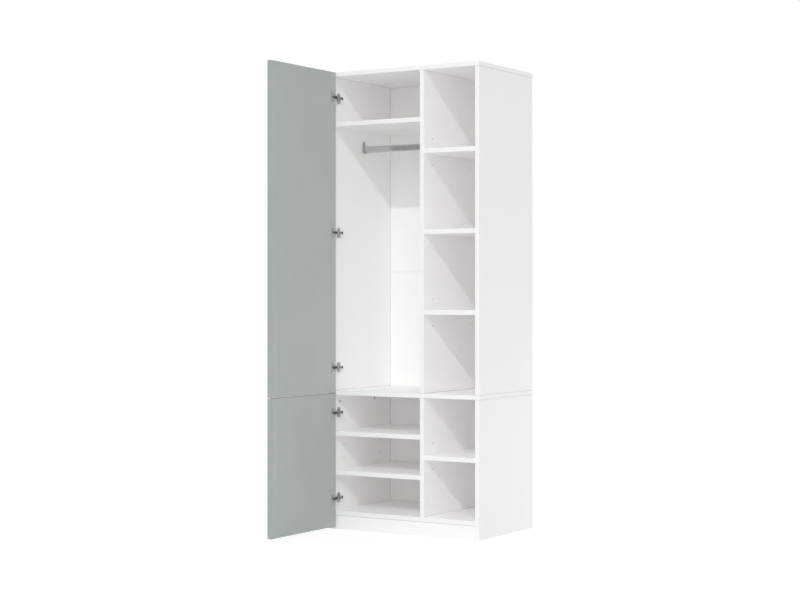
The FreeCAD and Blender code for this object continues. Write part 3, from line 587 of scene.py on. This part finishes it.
def cross_cutter(head_radius, head_height):
    """Two crossed blocks that narrow downwards, half of them in the head."""
    shape = bmesh.new()
    for wide, narrow in ((RECESS_LONG, RECESS_THIN), (RECESS_THIN, RECESS_LONG)):
        sides = (wide * 2 * head_radius, narrow * 2 * head_radius, CUTTER_HEIGHT * head_height, 1)
        bmesh.ops.create_cube(shape, size=1, matrix=Matrix.Diagonal(sides))
    for vertex in shape.verts:
        if vertex.co.z < 0:
            vertex.co.x *= RECESS_TAPER
            vertex.co.y *= RECESS_TAPER
    return mesh_of(shape, "screw_cutter")


def screw_mesh(length, head_radius, stem_radius, head_height, dome):
    """A screw with a thread, a point and a cross recess."""
    blank = screw_blank(length, head_radius, stem_radius, head_height, dome)
    screw = placed("screw_form", blank)
    cutter = placed("screw_cut", cross_cutter(head_radius, head_height))
    trim = screw.modifiers.new("recess", "BOOLEAN")
    trim.object = cutter
    trim.operation = "DIFFERENCE"
    trim.use_self = True
    cut = screw.evaluated_get(bpy.context.evaluated_depsgraph_get())
    made = bpy.data.meshes.new_from_object(cut)
    for item in (screw, cutter):
        bpy.data.objects.remove(item)
    return made


def screws(node, body, dome):
    """All screws of a node as one detailed piece that stands for it."""
    whole = bmesh.new()
    forms = {}
    for points in solids_of(node):
        end, axis, length, head_radius, stem_radius, head_height = screw_place(points)
        size = round(head_radius / SCREW_STEP)
        if size not in forms:
            forms[size] = screw_mesh(length, head_radius, stem_radius, head_height, dome)
        copy = forms[size].copy()
        copy.transform(Matrix.Translation(end) @ axis.to_track_quat("Z", "Y").to_matrix().to_4x4())
        whole.from_mesh(copy)
        bpy.data.meshes.remove(copy)
    mesh = mesh_of(whole, node + "_cross")
    piece = placed(node + "_cross", mesh)
    mesh.materials.append(MATERIALS[SLOT_OF[node]])
    mesh.set_sharp_from_angle(angle=SHARP_ANGLE)
    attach(piece, body)
    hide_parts(node)


screws("hinge_plate_screws", "case", ROUND_HEAD)
screws("hinge_arm_screws", "case", ROUND_HEAD)
screws("rail_screws", "case", ROUND_HEAD)
screws("back_screws", "case", FLAT_HEAD)
screws("upper_hinge_cup_screws", "upper_door", ROUND_HEAD)
screws("lower_hinge_cup_screws", "lower_door", ROUND_HEAD)


# Floor and room

FLOOR_REACH = 60
FLOOR_TONE = 0.86
SHADOW_SHARE = 0.16
FLOOR_GLOW = 0.86
SKY_FRONT = 0.43
SKY_TOP = 1.07


def light_path_mask(tree):
    """1 for rays that come straight from the camera or by gloss or glass, else 0."""
    rays = add(tree, "ShaderNodeLightPath")
    straight = joined(tree, rays.outputs["Is Camera Ray"], rays.outputs["Is Glossy Ray"], "MAXIMUM")
    return joined(tree, straight, rays.outputs["Is Transmission Ray"], "MAXIMUM")


def studio_floor():
    """A pale floor: white to the camera but for the soft shadow, and a plain reflector for the light."""
    shape = bmesh.new()
    bmesh.ops.create_grid(shape, x_segments=1, y_segments=1, size=FLOOR_REACH)
    mesh = mesh_of(shape, "studio_floor")
    floor = placed("studio_floor", mesh)
    material, tree, shader = start("studio_floor")
    tree.nodes.remove(shader)
    plain = add(tree, "ShaderNodeBsdfDiffuse", {"Color": (FLOOR_TONE,) * 3 + (1,)})
    faint = add(tree, "ShaderNodeBsdfDiffuse", {"Color": (SHADOW_SHARE,) * 3 + (1,)})
    glow = add(tree, "ShaderNodeEmission", {"Strength": FLOOR_GLOW})
    seen = add(tree, "ShaderNodeAddShader")
    tree.links.new(faint.outputs["BSDF"], seen.inputs[0])
    tree.links.new(glow.outputs["Emission"], seen.inputs[1])
    choice = add(tree, "ShaderNodeMixShader")
    tree.links.new(light_path_mask(tree), choice.inputs["Fac"])
    tree.links.new(plain.outputs["BSDF"], choice.inputs[1])
    tree.links.new(seen.outputs["Shader"], choice.inputs[2])
    tree.links.new(choice.outputs["Shader"], tree.nodes["Material Output"].inputs["Surface"])
    mesh.materials.append(material)


def studio_world():
    """A white room, lit from the front and from above, that also shows white behind the object."""
    world = bpy.data.worlds.new("studio_world")
    bpy.context.scene.world = world
    world.use_nodes = True
    tree = world.node_tree
    shade = tree.nodes["Background"]
    shade.inputs["Color"].default_value = (1, 1, 1, 1)
    way = add(tree, "ShaderNodeTexCoord").outputs["Generated"]
    front = spread(tree, axis_of(tree, way, "Y"), SKY_FRONT, 0, first=-1, last=0)
    top = spread(tree, axis_of(tree, way, "Z"), 0, SKY_TOP, first=0, last=1)
    choice = add(tree, "ShaderNodeMix", {NUMBER_SECOND: 1})
    tree.links.new(light_path_mask(tree), choice.inputs[MIX_FACTOR])
    tree.links.new(joined(tree, front, top), choice.inputs[NUMBER_FIRST])
    tree.links.new(choice.outputs[NUMBER_RESULT], shade.inputs["Strength"])


# Lamps and camera

KEY_DIRECTION = Vector((-0.566, 1, -0.70))
KEY_STRENGTH = 0.69
KEY_ANGLE = math.radians(0.5)
FILL_DIRECTION = Vector((-0.45, 0.90, -0.08))
FILL_STRENGTH = 0.40
FILL_ANGLE = math.radians(45)
BACK_DIRECTION = Vector((0.35, -0.90, -0.05))
BACK_STRENGTH = 0.8
BACK_ANGLE = math.radians(40)
SIDE_PLACE = Vector((1.9, 0.9, 0.12))
SIDE_AIM = Vector((0.42, 0.25, 0.10))
SIDE_WIDTH = 0.8
SIDE_POWER = 2.6
LOW_PLACE = Vector((1.9, -1.0, 0.12))
LOW_AIM = Vector((-0.2, -0.2, 0.25))
LOW_WIDTH = 0.9
LOW_POWER = 1.6

# A white box needs many bounces to fill with light
BOUNCES = 24

CAMERA_PLACE = Vector((4.332, -7.077, 1.146))
CAMERA_TURN = math.radians(31.54)
CAMERA_LENS = 77.93
IMAGE_SIZE = (800, 600)
HORIZON_ROW = 295.19


def far_lamp(name, direction, strength, angle):
    """A distant lamp; the wider its angle, the softer its shadows."""
    data = bpy.data.lights.new(name, "SUN")
    data.energy = strength
    data.angle = angle
    lamp = placed(name, data)
    lamp.rotation_euler = direction.to_track_quat("-Z", "Y").to_euler()


def near_lamp(name, place, aim, width, power):
    """A round soft lamp close by, which is not seen itself."""
    data = bpy.data.lights.new(name, "AREA")
    data.shape = "DISK"
    data.size = width
    data.energy = power
    lamp = placed(name, data)
    lamp.location = place
    lamp.rotation_euler = (aim - place).to_track_quat("-Z", "Y").to_euler()
    lamp.visible_camera = False
    lamp.visible_glossy = False


def photo_camera():
    """The photograph's camera: level, turned to the left, with its horizon a little above the middle."""
    data = bpy.data.cameras.new("photo_camera")
    data.lens = CAMERA_LENS
    data.shift_y = (HORIZON_ROW - IMAGE_SIZE[1] / 2) / IMAGE_SIZE[0]
    camera = placed("photo_camera", data)
    camera.location = CAMERA_PLACE
    camera.rotation_euler = (math.pi / 2, 0, CAMERA_TURN)
    bpy.context.scene.camera = camera


studio_floor()
studio_world()
far_lamp("key_light", KEY_DIRECTION, KEY_STRENGTH, KEY_ANGLE)
far_lamp("fill_light", FILL_DIRECTION, FILL_STRENGTH, FILL_ANGLE)
far_lamp("back_light", BACK_DIRECTION, BACK_STRENGTH, BACK_ANGLE)
near_lamp("side_light", SIDE_PLACE, SIDE_AIM, SIDE_WIDTH, SIDE_POWER)
near_lamp("low_light", LOW_PLACE, LOW_AIM, LOW_WIDTH, LOW_POWER)
photo_camera()
bpy.context.scene.view_settings.view_transform = "Standard"
bpy.context.scene.cycles.max_bounces = BOUNCES
bpy.context.scene.cycles.diffuse_bounces = BOUNCES
